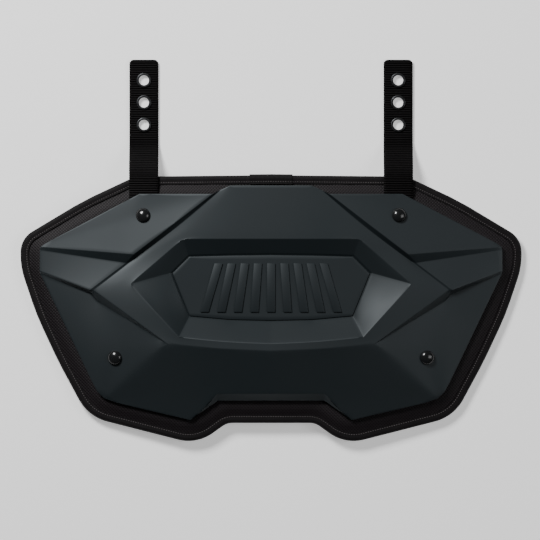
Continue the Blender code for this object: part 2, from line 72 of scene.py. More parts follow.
def reshape(thing, change=None):
    # The change made to the object's mesh, whose faces then all point outwards
    bm = bmesh.new()
    bm.from_mesh(thing.data)
    if change:
        change(bm)
    bmesh.ops.recalc_face_normals(bm, faces=bm.faces)
    bm.to_mesh(thing.data)
    bm.free()


def addModifier(thing, name, kind, **settings):
    modifier = thing.modifiers.new(name, kind)
    for key, value in settings.items():
        setattr(modifier, key, value)
    return modifier


def makePlain(thing):
    # The object's modifiers worked into a plain mesh
    bpy.context.view_layer.update()
    graph = bpy.context.evaluated_depsgraph_get()
    mesh = bpy.data.meshes.new_from_object(thing.evaluated_get(graph))
    thing.modifiers.clear()
    thing.data = mesh
    return thing


def shadeSmooth(thing, degrees):
    thing.data.shade_smooth()
    thing.data.set_sharp_from_angle(angle=math.radians(degrees))


def joinRows(name, rows, closed):
    # A skin through rings of points, capped if it is open, with a UV map in metres along and round it
    bm = bmesh.new()
    uv = bm.loops.layers.uv.new("tape")
    made = [[bm.verts.new(point) for point in row] for row in rows]
    along = [0.0]
    for low, high in zip(rows, rows[1:] + rows[:1]):
        along.append(along[-1] + (Vector(high[0]) - Vector(low[0])).length)
    across = [0.0]
    for one, two in zip(rows[0], rows[0][1:] + rows[0][:1]):
        across.append(across[-1] + (Vector(two) - Vector(one)).length)
    for number in range(len(rows) if closed else len(rows) - 1):
        low, high = made[number], made[(number + 1) % len(rows)]
        for place in range(len(low)):
            ahead = (place + 1) % len(low)
            face = bm.faces.new((low[place], low[ahead], high[ahead], high[place]))
            corners = ((number, place), (number, place + 1), (number + 1, place + 1), (number + 1, place))
            for loop, (row, spot) in zip(face.loops, corners):
                loop[uv].uv = (along[row], across[spot])
    if not closed:
        bm.faces.new(made[0])
        bm.faces.new(made[-1])
    return fromBmesh(name, bm)


# Material helpers

def linear(code):
    # Linear colour of an sRGB hex code
    values = [int(code[place:place + 2], 16) / 255 for place in (1, 3, 5)]
    flat = [value / 12.92 if value <= 0.04045 else ((value + 0.055) / 1.055) ** 2.4 for value in values]
    return (*flat, 1.0)


def newMaterial(name):
    material = bpy.data.materials.new(name)
    material.use_nodes = True
    tree = material.node_tree
    return material, tree, tree.nodes["Principled BSDF"]


def setInputs(tree, node, values):
    # An input takes a value, a socket, or a node, which stands for its first output
    for key, value in values.items():
        if isinstance(value, bpy.types.Node):
            value = value.outputs[0]
        if isinstance(value, bpy.types.NodeSocket):
            tree.links.new(value, node.inputs[key])
        else:
            node.inputs[key].default_value = value


def addNode(tree, kind, *given, **more):
    # given fills the inputs in order; more holds settings, and inputs by name or by number as in i6
    node = tree.nodes.new(kind)
    values = dict(enumerate(given))
    for key, value in more.items():
        if hasattr(node, key):
            setattr(node, key, value)
        else:
            values[int(key[1:]) if key[1:].isdigit() else key] = value
    setInputs(tree, node, values)
    return node


# The outline of the pad, and how it lies

outline = {
    "arcStep": math.radians(4),
    "longest": 0.0025,
    "lengthShare": 0.53,  # rounded at this share of its width, then stretched to the pad
    # across in half widths, up in lengths, radius in widths, from the top down the right side
    "corners": (
        (0.542, 0.995, 0.040),
        (0.749, 0.904, 0.400),
        (1.000, 0.763, 0.048),
        (1.000, 0.655, 0.150),
        (0.937, 0.478, 0.500),
        (0.849, 0.301, 0.600),
        (0.730, 0.094, 0.090),
        (0.295, -0.010, 0.084),
        (0.176, 0.071, 0.036),
    ),
}


def roundCorners(corners, arcStep):
    loop = []
    for number, (x, y, radius) in enumerate(corners):
        here = Vector((x, y))
        before = (Vector(corners[number - 1][:2]) - here).normalized()
        after = (Vector(corners[(number + 1) % len(corners)][:2]) - here).normalized()
        turn = math.pi - before.angle(after)
        if radius == 0 or turn < math.radians(0.5):
            loop.append(here)
            continue
        centre = here + (before + after).normalized() * radius / math.cos(turn / 2)
        arm = here + before * radius * math.tan(turn / 2) - centre
        side = 1 if before.cross(after) < 0 else -1
        steps = max(1, round(turn / arcStep))
        for step in range(steps + 1):
            loop.append(centre + Matrix.Rotation(side * turn * step / steps, 2) @ arm)
    return loop


def evenLoop(loop, longest):
    points = []
    for here, ahead in zip(loop, loop[1:] + loop[:1]):
        parts = max(1, math.ceil((ahead - here).length / longest))
        points += [here.lerp(ahead, part / parts) for part in range(parts)]
    return points


def makeOutline():
    width, length = body["padWidth"], body["padLength"]
    tall = outline["lengthShare"]
    half = [(across / 2, tall * up, radius) for across, up, radius in outline["corners"]]
    left = [(-x, y, radius) for x, y, radius in half]
    loop = roundCorners([(0.0, tall, 0.0)] + left + half[::-1], outline["arcStep"])
    widest = max(point.x for point in loop)
    lowest = min(point.y for point in loop)
    tallest = max(point.y for point in loop) - lowest
    fitted = [Vector((point.x * width / 2 / widest, lowY + (point.y - lowest) * length / tallest))
              for point in loop]
    return evenLoop(fitted, outline["longest"])


def inset(loop, distance):
    moved = []
    for before, here, ahead in zip(loop[-1:] + loop[:-1], loop, loop[1:] + loop[:1]):
        one = (here - before).normalized()
        two = (ahead - here).normalized()
        oneIn = Vector((-one.y, one.x))
        twoIn = Vector((-two.y, two.x))
        moved.append(here + (oneIn + twoIn) * distance / (1 + oneIn.dot(twoIn)))
    return moved


padLoop = makeOutline()


def wrap(x, y):
    across = x / (body["padWidth"] / 2)
    return body["wrapDrop"] * (1 - across ** 2) + body["lean"] * (y - lowY - body["padLength"] / 2)


restHeight = -min(wrap(point.x, point.y) for point in padLoop)


def backHeight(x, y):
    return wrap(x, y) + restHeight


def layOnBack(thing):
    for vert in thing.data.vertices:
        vert.co.z += backHeight(vert.co.x, vert.co.y)


# The moulded shell

shell = {
    "width": 0.3986,
    "length": 0.2019,
    "abovePadFoot": 0.0182,
    "rise": 0.0193,
    "padFront": 0.0095,
    "wall": 0.003,
    "rim": 0.0012,
    "grooveWidth": 0.0015,
    "grooveDepth": 0.0012,
    "grooveFar": 1.12,  # its far side, in groove widths
    "detail": 4,
    "edgeRound": 0.0003,
    "roundFrom": 14,  # edges that turn by fewer degrees aren't rounded
    "colour": "#171E21",
    "shade": "#12181B",
    "sheenTint": "#F1F9FD",
}

# Its corners, one half: across in half widths, up in lengths, height in rises above the pad
shellCorners = {
    "topMid": (0.000, 1.000, 0.43),
    "topTurn": (0.138, 1.000, 0.43),
    "topBend": (0.177, 0.999, 0.42),
    "valleyTop": (0.218, 0.981, 0.40),
    "valleyBend": (0.406, 0.821, 0.49),
    "valleyLow": (0.605, 0.676, 0.43),
    "apex": (0.767, 0.554, 0.57),
    "wingTopIn": (0.251, 0.964, 0.51),
    "wingEdge": (0.413, 0.841, 0.63),
    "wingLowIn": (0.592, 0.706, 0.69),
    "wingTopMid": (0.531, 0.964, 0.37),
    "wingShoulder": (0.568, 0.964, 0.34),
    "wingSlant": (0.605, 0.945, 0.32),
    "tipSlant": (0.972, 0.755, 0.24),
    "tipWing": (0.996, 0.738, 0.24),
    "tipMid": (0.999, 0.725, 0.21),
    "tipLow": (1.000, 0.635, 0.24),
    "midIn": (0.626, 0.670, 0.48),
    "midLow": (0.782, 0.554, 0.60),
    "stepOut": (0.998, 0.625, 0.19),
    "stepIn": (0.778, 0.537, 0.30),
    "sideMid": (0.850, 0.320, 0.19),
    "sideLow": (0.778, 0.172, 0.19),
    "cornerSide": (0.750, 0.119, 0.19),
    "cornerMid": (0.718, 0.091, 0.19),
    "cornerFoot": (0.661, 0.072, 0.19),
    "lowTip": (0.350, 0.000, 0.19),
    "notch": (0.229, 0.083, 0.21),
    "lowMid": (0.000, 0.083, 0.21),
    "wallFoot": (0.752, 0.507, 0.33),
    "wallMid": (0.609, 0.424, 0.59),
    "wallEnd": (0.467, 0.337, 0.84),
    "wingBend": (0.758, 0.320, 0.38),
    "ridgeOut": (0.447, 0.324, 0.90),
    "ridgeMid": (0.221, 0.303, 0.98),
    "ridgeIn": (0.000, 0.294, 1.00),
    "edgeMid": (0.609, 0.441, 0.73),
    "chamferOut": (0.298, 0.043, 0.28),
    "chamferTurn": (0.233, 0.113, 0.45),
    "chamferIn": (0.000, 0.113, 0.49),
    "bandTop": (0.000, 0.808, 0.56),
    "bandMid": (0.186, 0.808, 0.56),
    "bandTurn": (0.393, 0.808, 0.53),
    "bandLow": (0.540, 0.687, 0.48),
    "bandLeft": (0.670, 0.582, 0.60),
    "rimTop": (0.000, 0.772, 0.58),
    "rimTopOut": (0.186, 0.772, 0.58),
    "rimTurn": (0.380, 0.772, 0.56),
    "rimSlant": (0.493, 0.677, 0.54),
    "rimLeft": (0.607, 0.580, 0.66),
    "rimLow": (0.501, 0.466, 0.85),
    "rimCorner": (0.398, 0.354, 0.92),
    "rimBottom": (0.199, 0.333, 0.97),
    "rimBottomIn": (0.000, 0.326, 0.98),
    "panelTop": (0.000, 0.711, 0.26),
    "panelTopOut": (0.177, 0.709, 0.26),
    "panelTurn": (0.357, 0.704, 0.26),
    "panelLeft": (0.435, 0.627, 0.26),
    "panelCorner": (0.357, 0.437, 0.26),
    "panelBottomOut": (0.177, 0.421, 0.26),
    "panelBottom": (0.000, 0.417, 0.26),
}

# Its facets by their corners
shellFacets = (
    "topMid topTurn bandMid bandTop",
    "topTurn topBend valleyTop valleyBend bandTurn bandMid",
    "bandTop bandMid rimTopOut rimTop",
    "bandMid bandTurn rimTurn rimTopOut",
    "valleyBend valleyLow bandLow bandTurn",
    "valleyLow apex bandLeft bandLow",
    "bandTurn bandLow rimSlant rimTurn",
    "bandLow bandLeft rimLeft rimSlant",
    "apex edgeMid rimLow rimLeft bandLeft",
    "edgeMid ridgeOut rimCorner rimLow",
    "ridgeOut ridgeMid rimBottom rimCorner",
    "ridgeMid ridgeIn rimBottomIn rimBottom",
    "wingTopIn wingTopMid wingShoulder wingSlant tipSlant tipWing wingLowIn wingEdge",
    "valleyTop wingTopIn wingEdge valleyBend",
    "valleyBend wingEdge wingLowIn valleyLow",
    "tipWing tipMid midIn wingLowIn",
    "wingLowIn midIn valleyLow",
    "tipMid tipLow midLow midIn",
    "midIn midLow apex valleyLow",
    "tipLow stepOut stepIn midLow",
    "midLow stepIn wallFoot apex",
    "apex wallFoot wallMid edgeMid",
    "edgeMid wallMid wallEnd ridgeOut",
    "stepOut sideMid wingBend wallFoot stepIn",
    "sideMid sideLow cornerSide wingBend",
    "wallFoot wingBend cornerSide cornerMid ridgeOut wallEnd wallMid",
    "ridgeOut cornerMid cornerFoot lowTip chamferOut chamferTurn",
    "ridgeOut chamferTurn chamferIn ridgeIn ridgeMid",
    "chamferOut lowTip notch chamferTurn",
    "chamferTurn notch lowMid chamferIn",
    "rimTurn rimTopOut panelTopOut panelTurn",
    "rimTopOut rimTop panelTop panelTopOut",
    "rimTurn panelTurn panelLeft rimLeft rimSlant",
    "rimLeft panelLeft panelCorner rimCorner rimLow",
    "rimCorner panelCorner panelBottomOut rimBottom",
    "rimBottom panelBottomOut panelBottom rimBottomIn",
)

panelRim = "panelTop panelTopOut panelTurn panelLeft panelCorner panelBottomOut panelBottom".split()

# Edges that aren't sharp, by how much of a crease each keeps
softEdges = {
    0.0: ("topTurn bandMid", "valleyLow bandLow", "bandMid rimTopOut", "bandLow rimSlant",
          "edgeMid rimLow", "ridgeMid rimBottom", "valleyBend wingEdge", "edgeMid wallMid",
          "sideMid wingBend", "ridgeOut chamferTurn", "rimTopOut panelTopOut",
          "rimBottom panelBottomOut"),
    0.1: ("bandTurn bandLow", "bandLow bandLeft"),
    0.2: ("valleyBend bandTurn", "bandTurn rimTurn", "bandLeft rimLeft"),
    0.3: ("bandTop bandMid", "bandMid bandTurn", "apex bandLeft", "ridgeOut rimCorner",
          "wallFoot wingBend", "wingBend cornerSide"),
    0.5: ("ridgeOut cornerMid",),
    0.6: ("ridgeOut ridgeMid", "ridgeMid ridgeIn"),
}


def shellPoint(across, up, height):
    return Vector((-across * shell["width"] / 2,
                   lowY + shell["abovePadFoot"] + up * shell["length"],
                   shell["padFront"] + height * shell["rise"]))


def panelRing(wayIn, drop):
    points = [shellPoint(*shellCorners[name]) for name in panelRim]
    loop = [Vector((point.x, point.y)) for point in points]
    mirrored = [Vector((-point.x, point.y)) for point in loop[-2:0:-1]]
    moved = inset(loop + mirrored, wayIn)[:len(loop)]
    return [Vector((spot.x, spot.y, point.z - drop)) for spot, point in zip(moved, points)]


def makeHalfCage():
    bm = bmesh.new()
    corners = {name: bm.verts.new(shellPoint(*place)) for name, place in shellCorners.items()}
    for facet in shellFacets:
        bm.faces.new([corners[name] for name in facet.split()])
    row = [corners[name] for name in panelRim]
    # The recess walls run on down into a groove whose far side stands upright
    far = shell["grooveFar"] * shell["grooveWidth"]
    for wayIn, drop in ((shell["grooveWidth"], shell["grooveDepth"]), (far, 0.0)):
        inner = [bm.verts.new(point) for point in panelRing(wayIn, drop)]
        for number in range(len(row) - 1):
            bm.faces.new((row[number], row[number + 1], inner[number + 1], inner[number]))
        row = inner
    bm.faces.new((row[0], row[1], row[-2], row[-1]))
    bm.faces.new(row[1:-1])
    crease = bm.edges.layers.float.new("crease_edge")
    for edge in bm.edges:
        edge[crease] = 1.0
    for amount, pairs in softEdges.items():
        for pair in pairs:
            bm.edges.get([corners[name] for name in pair.split()])[crease] = amount
    bm.edges.get((row[1], row[-2]))[crease] = 0.0
    return fromBmesh("shell", bm)


def closeShell(bm):
    # The front copied down by one wall, and a rim that joins the two and stands on the pad
    foot = shell["padFront"] + body["gap"]
    rim = [edge for edge in bm.edges if edge.is_boundary]
    copy = bmesh.ops.duplicate(bm, geom=bm.verts[:] + bm.edges[:] + bm.faces[:])
    twin = copy["vert_map"]
    for item in copy["geom"]:
        if isinstance(item, bmesh.types.BMVert):
            item.co.z -= shell["wall"]
    inward = {}
    for edge in rim:
        centre = edge.link_faces[0].calc_center_median()
        along = edge.verts[1].co - edge.verts[0].co
        side = Vector((-along.y, along.x, 0)).normalized()
        if side.dot(centre - edge.verts[0].co) < 0:
            side.negate()
        for vert in edge.verts:
            inward[vert] = inward.get(vert, Vector()) + side
    outer = {}
    inner = {}
    for vert, side in inward.items():
        back = twin[vert]
        back.co.xy += side.xy.normalized() * shell["rim"]
        back.co.z = max(back.co.z, foot + body["gap"])
        outer[vert] = bm.verts.new((vert.co.x, vert.co.y, foot))
        inner[vert] = bm.verts.new((back.co.x, back.co.y, foot))
    for edge in rim:
        one, two = edge.verts
        bm.faces.new((one, two, outer[two], outer[one]))
        bm.faces.new((outer[one], outer[two], inner[two], inner[one]))
        bm.faces.new((inner[one], inner[two], twin[two], twin[one]))


def makeShell():
    cage = makeHalfCage()
    addModifier(cage, "halves", "MIRROR", merge_threshold=0.0001)
    addModifier(cage, "facets", "SUBSURF", levels=shell["detail"], render_levels=shell["detail"])
    makePlain(cage)
    reshape(cage, closeShell)
    addModifier(cage, "edges", "BEVEL", width=shell["edgeRound"], segments=2, use_clamp_overlap=False,
                limit_method="ANGLE", angle_limit=math.radians(shell["roundFrom"]))
    makePlain(cage)
    layOnBack(cage)
    shadeSmooth(cage, 30)
    return cage


def shellMaterial():
    # Satin moulded rubbery plastic: a fine grain breaks up the sheen, which sweeps softly across a facet
    material, tree, shader = newMaterial("satin_moulded_tpu")
    place = addNode(tree, "ShaderNodeTexCoord").outputs["Object"]
    grain = addNode(tree, "ShaderNodeTexNoise", Vector=place, Scale=1800.0, Detail=2.0)
    cloud = addNode(tree, "ShaderNodeTexNoise", Vector=place, Scale=14.0, Detail=3.0)
    tone = addNode(tree, "ShaderNodeMix", cloud, data_type="RGBA",
                   i6=linear(shell["colour"]), i7=linear(shell["shade"])).outputs[2]
    rough = addNode(tree, "ShaderNodeMapRange", cloud, 0.3, 0.7, 0.48, 0.54)
    bump = addNode(tree, "ShaderNodeBump", Strength=0.25, Distance=0.00005, Height=grain)
    setInputs(tree, shader, {"Base Color": tone, "Roughness": rough, "IOR": 1.52, "Normal": bump,
                             "Specular Tint": linear(shell["sheenTint"])})
    return material


shellPiece = makeShell()
shellPiece.data.materials.append(shellMaterial())
print("stage: shell", len(shellPiece.data.polygons))

# Plain raised bars fanned across the panel
bars = {
    "count": 9,
    "pitch": 0.0128,
    "width": 0.0072,
    "length": 0.042,
    "height": 0.0013,
    "lean": math.radians(4),
    "rounding": 0.0004,
}


def geometryTree(name, inputs):
    # An empty Geometry Nodes tree with named inputs
    tree = bpy.data.node_groups.new(name, "GeometryNodeTree")
    for label, kind in {"Geometry": "Geometry", **inputs}.items():
        tree.interface.new_socket(label, in_out="INPUT", socket_type="NodeSocket" + kind)
    tree.interface.new_socket("Geometry", in_out="OUTPUT", socket_type="NodeSocketGeometry")
    return tree, tree.nodes.new("NodeGroupInput"), tree.nodes.new("NodeGroupOutput")


def runTree(thing, tree, values):
    # Runs the tree on the object with these values and keeps the result as a plain mesh
    modifier = addModifier(thing, tree.name, "NODES", node_group=tree)
    for item in tree.interface.items_tree:
        if item.item_type == "SOCKET" and item.in_out == "INPUT" and item.name in values:
            modifier[item.identifier] = values[item.name]
    return makePlain(thing)


def barTree():
    # A row of boxes, each sheared by its own number so that the row fans out
    tree, given, result = geometryTree("panel_bars", {
        "Count": "Int", "Pitch": "Float", "Size": "Vector", "Lean": "Float", "Material": "Material"})
    gaps = addNode(tree, "ShaderNodeMath", given.outputs["Count"], 1.0, operation="SUBTRACT")
    whole = addNode(tree, "ShaderNodeMath", gaps, given.outputs["Pitch"], operation="MULTIPLY")
    first = addNode(tree, "ShaderNodeMath", whole, -0.5, operation="MULTIPLY")
    start = addNode(tree, "ShaderNodeCombineXYZ", first)
    step = addNode(tree, "ShaderNodeCombineXYZ", given.outputs["Pitch"])
    line = addNode(tree, "GeometryNodeMeshLine", Count=given.outputs["Count"], Offset=step,
                   **{"Start Location": start})
    middle = addNode(tree, "ShaderNodeMath", gaps, 0.5, operation="MULTIPLY")
    index = addNode(tree, "GeometryNodeInputIndex")
    number = addNode(tree, "ShaderNodeMath", index, middle, operation="SUBTRACT")
    named = addNode(tree, "GeometryNodeStoreNamedAttribute", Geometry=line, Name="step", Value=number,
                    data_type="FLOAT", domain="POINT")
    box = addNode(tree, "GeometryNodeMeshCube", Size=given.outputs["Size"])
    placed = addNode(tree, "GeometryNodeInstanceOnPoints", Points=named, Instance=box)
    real = addNode(tree, "GeometryNodeRealizeInstances", placed)
    spot = addNode(tree, "ShaderNodeSeparateXYZ", addNode(tree, "GeometryNodeInputPosition"))
    stepOf = addNode(tree, "GeometryNodeInputNamedAttribute", Name="step", data_type="FLOAT")
    turn = addNode(tree, "ShaderNodeMath", stepOf, given.outputs["Lean"], operation="MULTIPLY")
    slope = addNode(tree, "ShaderNodeMath", turn, operation="TANGENT")
    slide = addNode(tree, "ShaderNodeMath", slope, spot.outputs["Y"], operation="MULTIPLY")
    shift = addNode(tree, "ShaderNodeCombineXYZ", slide)
    leant = addNode(tree, "GeometryNodeSetPosition", Geometry=real, Offset=shift)
    dressed = addNode(tree, "GeometryNodeSetMaterial", Geometry=leant, Material=given.outputs["Material"])
    setInputs(tree, result, {0: dressed})
    return tree


def makeBars(material):
    top, low = (shellPoint(*shellCorners[name]) for name in ("panelTop", "panelBottom"))
    middle = (top + low) / 2
    depth = shell["wall"] / 2 + bars["height"]
    thing = addObject("panel_bars", bpy.data.meshes.new("panel_bars"))
    runTree(thing, barTree(), {
        "Count": bars["count"], "Pitch": bars["pitch"], "Lean": -bars["lean"], "Material": material,
        "Size": (bars["width"], bars["length"], depth)})
    addModifier(thing, "edges", "BEVEL", width=bars["rounding"], segments=3)
    makePlain(thing)
    for vert in thing.data.vertices:
        vert.co += Vector((0, middle.y, middle.z + bars["height"] - depth / 2))
    layOnBack(thing)
    shadeSmooth(thing, 40)
    return thing


barPiece = makeBars(shellPiece.data.materials[0])
print("stage: bars", len(barPiece.data.polygons))

# The tape round the edge

tape = {
    "width": 0.007,
    "height": 0.0080,
    "wall": 0.0012,
    "round": 0.0026,
    "roundSteps": 6,
    "stitchIn": 0.0055,
    "stitchDip": 0.00018,
    "dipReach": 0.0009,
    "wobble": 0.00012,
    "lapLength": 0.037,
    "lapWall": 0.0006,
    "lapSteps": 28,
    "lapRowEnd": 0.0015,
    "lapRowSteps": 30,
    "ribPitch": 0.0011,
    "yarnPitch": 0.0008,
    "colour": "#1B1719",
    "lapColour": "#0A0809",
    "gaps": "#050405",
    "worn": "#060405",
    "seed": 4,
}


def tapeSection(width, height, wall, out):
    # Way in from the outline and height, round a folded tape: outer face from the back, then inner face
    radius = tape["round"] + out
    steps = tape["roundSteps"]
    outer = [(width, -out)]
    outer += [(radius - out + (width - radius + out) * share, -out) for share in (0.75, 0.5, 0.25)]
    for step in range(steps + 1):
        angle = math.pi / 2 * step / steps
        outer.append((radius - out - radius * math.sin(angle), radius - out - radius * math.cos(angle)))
    outer += [(wayIn, height - high) for wayIn, high in outer[::-1]]
    inner = []
    for number, (wayIn, high) in enumerate(outer):
        before = Vector(outer[max(0, number - 1)])
        after = Vector(outer[min(len(outer) - 1, number + 1)])
        along = (after - before).normalized()
        inner.append((wayIn + along.y * wall, high - along.x * wall))
    return outer + inner[::-1]


def dipAt(wayIn):
    # How far the tape is drawn in at its stitch row
    off = (wayIn - tape["stitchIn"]) / tape["dipReach"]
    return tape["stitchDip"] * math.exp(-off * off)


def makeTape():
    section = tapeSection(tape["width"], tape["height"], tape["wall"], 0.0)
    middle = tape["height"] / 2
    rings = [inset(padLoop, wayIn) for wayIn, high in section]
    count = len(padLoop)
    phases = random.Random(tape["seed"])
    waves = [(phases.randint(9, 90), phases.uniform(0, math.tau)) for number in range(7)]
    rows = []
    for place in range(count):
        sway = sum(math.sin(math.tau * turns * place / count + phase) for turns, phase in waves)
        row = []
        for ring, (wayIn, high) in zip(rings, section):
            spot = ring[place]
            side = 1 if high > middle else -1
            lift = side * (tape["wobble"] * sway / 2 * wayIn / tape["width"] - dipAt(wayIn))
            row.append((spot.x, spot.y, high + lift + backHeight(spot.x, spot.y)))
        rows.append(row)
    thing = joinRows("edge_tape", rows, closed=True)
    shadeSmooth(thing, 50)
    return thing


def topEdge(x):
    for here, ahead in zip(padLoop, padLoop[1:] + padLoop[:1]):
        if ahead.x <= x <= here.x and here.y > 0:
            return here.lerp(ahead, (here.x - x) / (here.x - ahead.x)).y
    return tipY - body["strapReach"]


def makeLap():
    out = body["gap"] + tape["lapWall"]
    section = tapeSection(tape["width"] + tape["lapWall"], tape["height"], tape["lapWall"], out)
    middle = tape["height"] / 2
    rows = []
    for step in range(tape["lapSteps"] + 1):
        x = tape["lapLength"] * (0.5 - step / tape["lapSteps"])
        row = []
        for wayIn, high in section:
            y = topEdge(x) - wayIn
            side = 1 if high > middle else -1
            row.append((x, y, high - side * dipAt(wayIn) + backHeight(x, y)))
        rows.append(row)
    thing = joinRows("tape_lap", rows, closed=False)
    shadeSmooth(thing, 50)
    return thing


def tapeMaterial(name, colour):
    # Woven polyester tape: fine ribs across it and a soft sheen at its edges
    material, tree, shader = newMaterial(name)
    uv = addNode(tree, "ShaderNodeUVMap", uv_map="tape")
    turns = (math.tau / tape["ribPitch"], math.tau / tape["yarnPitch"], 0.0)
    turned = addNode(tree, "ShaderNodeVectorMath", uv, turns, operation="MULTIPLY")
    waves = addNode(tree, "ShaderNodeVectorMath", turned, operation="SINE")
    parts = addNode(tree, "ShaderNodeSeparateXYZ", waves)
    weave = addNode(tree, "ShaderNodeMath", parts.outputs["Y"], 0.6, parts.outputs["X"],
                    operation="MULTIPLY_ADD")
    height = addNode(tree, "ShaderNodeMapRange", weave, -1.6, 1.6, 0.0, 1.0)
    place = addNode(tree, "ShaderNodeTexCoord").outputs["Object"]
    cloud = addNode(tree, "ShaderNodeTexNoise", Vector=place, Scale=90.0, Detail=3.0)
    worn = addNode(tree, "ShaderNodeMapRange", cloud, 0.4, 0.8, 0.3, 0.0)
    woven = addNode(tree, "ShaderNodeMix", height, data_type="RGBA",
                    i6=linear(tape["gaps"]), i7=linear(colour)).outputs[2]
    tone = addNode(tree, "ShaderNodeMix", worn, data_type="RGBA",
                   i6=woven, i7=linear(tape["worn"])).outputs[2]
    bump = addNode(tree, "ShaderNodeBump", Strength=0.8, Distance=0.00015, Height=height)
    setInputs(tree, shader, {"Base Color": tone, "Roughness": 0.6, "Specular IOR Level": 0.16,
                             "Sheen Weight": 0.03, "Normal": bump})
    return material


tapePiece = makeTape()
tapePiece.data.materials.append(tapeMaterial("woven_polyester_tape", tape["colour"]))
lapPiece = makeLap()
lapPiece.data.materials.append(tapeMaterial("woven_polyester_tape_end", tape["lapColour"]))
print("stage: tape", len(tapePiece.data.polygons))

# Stitches in the tape
thread = {
    "pitch": 0.0021,
    "size": (0.0014, 0.0008, 0.0006),
    "lift": 0.0002,
    "scatter": (0.9, 1.08),
    "colour": "#5E5859",
    "shade": "#3A3637",
    "seed": 11,
}


def stitchTree():
    tree, given, result = geometryTree("stitch_row", {
        "Pitch": "Float", "Size": "Vector", "Seed": "Int", "Material": "Material"})
    curve = addNode(tree, "GeometryNodeMeshToCurve", given.outputs["Geometry"])
    points = addNode(tree, "GeometryNodeCurveToPoints", curve, Length=given.outputs["Pitch"], mode="LENGTH")
    ball = addNode(tree, "GeometryNodeMeshUVSphere", Segments=8, Rings=5, Radius=0.5)
    turned = addNode(tree, "FunctionNodeAlignRotationToVector", Vector=points.outputs["Tangent"], axis="X")
    least, most = thread["scatter"]
    chance = addNode(tree, "FunctionNodeRandomValue", i2=least, i3=most, Seed=given.outputs["Seed"],
                     data_type="FLOAT").outputs[1]
    scale = addNode(tree, "ShaderNodeVectorMath", given.outputs["Size"], Scale=chance, operation="SCALE")
    placed = addNode(tree, "GeometryNodeInstanceOnPoints", points, Instance=ball, Rotation=turned,
                     Scale=scale)
    real = addNode(tree, "GeometryNodeRealizeInstances", placed)
    dressed = addNode(tree, "GeometryNodeSetMaterial", Geometry=real, Material=given.outputs["Material"])
    setInputs(tree, result, {0: dressed})
    return tree


def threadMaterial():
    # Spun polyester thread, a little lighter than the tape so that the row reads as dots
    material, tree, shader = newMaterial("spun_polyester_thread")
    place = addNode(tree, "ShaderNodeTexCoord").outputs["Object"]
    fibre = addNode(tree, "ShaderNodeTexNoise", Vector=place, Scale=2600.0, Detail=1.0)
    tone = addNode(tree, "ShaderNodeMix", fibre, data_type="RGBA",
                   i6=linear(thread["shade"]), i7=linear(thread["colour"])).outputs[2]
    setInputs(tree, shader, {"Base Color": tone, "Roughness": 0.6})
    return material


stitches = stitchTree()
threadCloth = threadMaterial()


def makeStitches(name, points, closed):
    count = len(points)
    edges = [(number, (number + 1) % count) for number in range(count if closed else count - 1)]
    mesh = bpy.data.meshes.new(name)
    mesh.from_pydata(points, edges, [])
    thing = addObject(name, mesh)
    runTree(thing, stitches, {"Pitch": thread["pitch"], "Size": thread["size"], "Seed": thread["seed"],
                              "Material": threadCloth})
    thing.data.shade_smooth()
    return thing


def tapeRow(front):
    sunk = tape["stitchDip"] - thread["lift"]
    height = tape["height"] - sunk if front else sunk
    ring = inset(padLoop, tape["stitchIn"])
    return [(spot.x, spot.y, height + backHeight(spot.x, spot.y)) for spot in ring]


def lapRow():
    half = tape["lapLength"] / 2 - tape["lapRowEnd"]
    height = tape["height"] - tape["stitchDip"] + thread["lift"] + body["gap"] + tape["lapWall"]
    row = []
    for step in range(tape["lapRowSteps"] + 1):
        x = half - 2 * half * step / tape["lapRowSteps"]
        y = topEdge(x) - tape["stitchIn"]
        row.append((x, y, height + backHeight(x, y)))
    return row


frontStitches = makeStitches("tape_stitches_front", tapeRow(True), True)
backStitches = makeStitches("tape_stitches_back", tapeRow(False), True)
lapStitches = makeStitches("lap_stitches", lapRow(), False)
print("stage: stitches", len(frontStitches.data.polygons))

# The foam pad in its cloth cover

pad = {
    "edgeThickness": 0.005,
    "thickness": 0.0095,
    "flat": 0.007,
    "shoulder": 0.0085,
    "backSwell": 0.16,  # of the front's swell
    "holePitch": 0.0027,
    "voxel": 0.004,
    "puff": 0.0009,
    "pressure": 4.0,
    "frames": 20,
    "sewnPastTape": 0.001,
    "lowest": 0.0004,
    "colour": "#1E191C",
    "holes": "#0B090A",
    "slit": "#010101",
    "slitHalf": (0.034, 0.040),
    "slitFoot": 0.001,
    # way in from the flat edge in shoulders, and how far it has got to the full thickness
    "swell": ((0.0, 0.0), (0.2, 0.12), (0.45, 0.62), (0.75, 0.93), (1.0, 1.0)),
}


def drawnIn(loop, distance):
    middleY = lowY + body["padLength"] / 2
    scaleX = 1 - distance / (body["padWidth"] / 2)
    scaleY = 1 - distance / (body["padLength"] / 2)
    return [Vector((point.x * scaleX, middleY + (point.y - middleY) * scaleY)) for point in loop]


def makePadForm():
    edgeIn = tape["wall"] + body["gap"]
    frontEdge = edgeIn + pad["edgeThickness"]
    rise = pad["thickness"] - frontEdge
    edge = inset(padLoop, edgeIn)
    flat = inset(padLoop, edgeIn + pad["flat"])
    steps = [(drawnIn(flat, wayIn * pad["shoulder"]), rise * share) for wayIn, share in pad["swell"]]
    rings = [(loop, edgeIn - pad["backSwell"] * swollen) for loop, swollen in steps[::-1]]
    rings += [(edge, edgeIn), (edge, frontEdge)]
    rings += [(loop, frontEdge + swollen) for loop, swollen in steps]
    bm = bmesh.new()
    made = [[bm.verts.new((point.x, point.y, height)) for point in ring] for ring, height in rings]
    for low, high in zip(made, made[1:]):
        for number in range(len(low)):
            ahead = (number + 1) % len(low)
            bm.faces.new((low[number], low[ahead], high[ahead], high[number]))
    bm.faces.new(made[0])
    bm.faces.new(made[-1])
    bmesh.ops.triangulate(bm, faces=bm.faces)
    return fromBmesh("pad_cover", bm)


